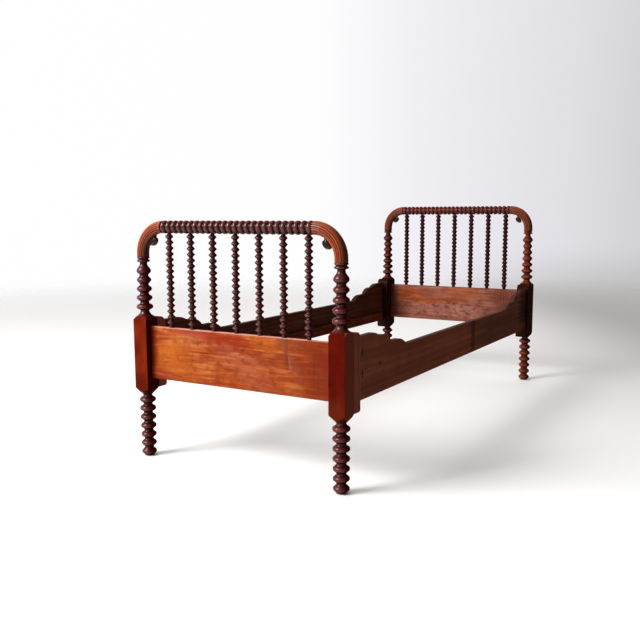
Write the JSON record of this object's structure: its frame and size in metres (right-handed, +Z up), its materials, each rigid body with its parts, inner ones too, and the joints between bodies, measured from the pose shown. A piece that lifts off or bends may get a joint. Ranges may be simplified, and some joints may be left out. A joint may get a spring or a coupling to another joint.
{
  "type": "bed frame",
  "caption": "Narrow antique wooden bed frame with bead-turned posts, rails and spindles, round upper corners, and scrolled side rails that lift off on iron hooks.",
  "frame": {"origin": "on the floor, in the middle of the bed", "axes": "+Z up, +Y from the foot end to the head end, +X to the right of someone who looks at the foot end"},
  "size_m": [0.86, 2.048, 0.9111],
  "materials": {
    "turned_post": "old shellac, glossy red-brown turning",
    "bent_arc": "old shellac, orange-brown, worn on the reeds",
    "carved_drop": "old shellac, nearly black",
    "turned_rail": "old shellac, dark red-brown turning",
    "turned_spindle": "old shellac, dark red-brown turning",
    "board_panel": "old shellac, orange-brown board with level grain",
    "cleat_board": "satin stained board",
    "side_board": "satin dark stained board",
    "ledger_strip": "plain sawn strip with thin stain",
    "wrought_iron": "dark, lightly rusted flat iron",
    "wood_screw": "dark slotted screws"
  },
  "bodies": {
    "root": {"post_foot_left": "turned_post", "post_foot_right": "turned_post", "post_head_left": "turned_post", "post_head_right": "turned_post", "cleat_foot_left": "cleat_board", "cleat_foot_right": "cleat_board", "cleat_head_left": "cleat_board", "cleat_head_right": "cleat_board", "arc_foot_left": "bent_arc", "arc_foot_right": "bent_arc", "arc_head_left": "bent_arc", "arc_head_right": "bent_arc", "drop_foot_left": "carved_drop", "drop_foot_right": "carved_drop", "drop_head_left": "carved_drop", "drop_head_right": "carved_drop", "keeper_plate_foot_left": "wrought_iron", "keeper_plate_foot_right": "wrought_iron", "keeper_plate_head_left": "wrought_iron", "keeper_plate_head_right": "wrought_iron", "top_rail_foot": "turned_rail", "panel_foot": "board_panel", "spindle_foot_1": "turned_spindle", "spindle_foot_2": "turned_spindle", "spindle_foot_3": "turned_spindle", "spindle_foot_4": "turned_spindle", "spindle_foot_5": "turned_spindle", "spindle_foot_6": "turned_spindle", "spindle_foot_7": "turned_spindle", "top_rail_head": "turned_rail", "panel_head": "board_panel", "spindle_head_1": "turned_spindle", "spindle_head_2": "turned_spindle", "spindle_head_3": "turned_spindle", "spindle_head_4": "turned_spindle", "spindle_head_5": "turned_spindle", "spindle_head_6": "turned_spindle", "spindle_head_7": "turned_spindle", "keeper_screws": "wood_screw"},
    "rail_left": {"side_rail_left": "side_board", "ledger_left": "ledger_strip", "hook_pins_left": "wrought_iron", "ledger_screws_left": "wood_screw", "hook_plate_foot_left": "wrought_iron", "hook_plate_head_left": "wrought_iron"},
    "rail_right": {"side_rail_right": "side_board", "ledger_right": "ledger_strip", "hook_pins_right": "wrought_iron", "ledger_screws_right": "wood_screw", "hook_plate_foot_right": "wrought_iron", "hook_plate_head_right": "wrought_iron"}
  },
  "joints": [
    {"name": "rail_left_lift", "type": "slide", "parent": "root", "child": "rail_left", "axis": [0, 0, 1], "range_m": [0, 0.012]},
    {"name": "rail_right_lift", "type": "slide", "parent": "root", "child": "rail_right", "axis": [0, 0, 1], "range_m": [0, 0.012]}
  ]
}
